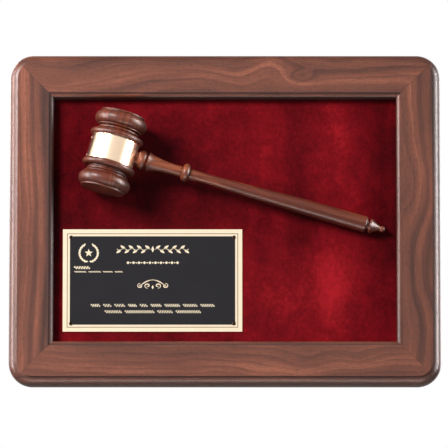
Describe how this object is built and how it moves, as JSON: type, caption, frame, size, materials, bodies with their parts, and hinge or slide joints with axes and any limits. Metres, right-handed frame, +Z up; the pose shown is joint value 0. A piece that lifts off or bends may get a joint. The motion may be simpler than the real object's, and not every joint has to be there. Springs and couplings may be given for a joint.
{
  "type": "wooden gavel plaque",
  "caption": "Rectangular walnut-framed award plaque: a turned gavel with a brass band and an engraved name plate on a recessed velour panel, hung by keyhole plates at the back.",
  "frame": {"origin": "centre of the flush back, on the wall plane", "axes": "+Z up the plaque, +X to the right as seen from the front, +Y out of the back into the wall; the front looks toward -Y"},
  "size_m": [0.4318, 0.0649, 0.3364],
  "materials": {
    "walnut_frame": "satin lacquer over oiled walnut",
    "walnut_gavel": "gloss lacquer over red-brown walnut",
    "polished_brass": "polished",
    "gold_plate": "bright, finely brushed",
    "black_lacquer": "satin black lacquer, marks engraved through to brass",
    "pin_bronze": "darkened",
    "red_velour": "brushed nap",
    "fibreboard": "raw",
    "brown_hardboard": "smooth pressed face",
    "zinc_steel": "zinc plated"
  },
  "bodies": {
    "root": {"frame_rail_top": "walnut_frame", "frame_rail_bottom": "walnut_frame", "frame_rail_left": "walnut_frame", "frame_rail_right": "walnut_frame", "gavel_head": "walnut_gavel", "gavel_handle": "walnut_gavel", "gavel_band": "polished_brass", "gavel_band_pins": "polished_brass", "name_plate": "gold_plate", "engraved_field": "black_lacquer", "plate_pins": "pin_bronze", "velour_cover": "red_velour", "mounting_board": "fibreboard", "back_panel": "brown_hardboard", "keyhole_hanger_left": "zinc_steel", "keyhole_hanger_right": "zinc_steel", "hanger_screws": "zinc_steel", "back_panel_screws": "zinc_steel", "gavel_head_screws": "zinc_steel", "gavel_handle_screw": "zinc_steel", "corner_v_nails": "zinc_steel", "velour_staples": "zinc_steel"}
  },
  "joints": []
}
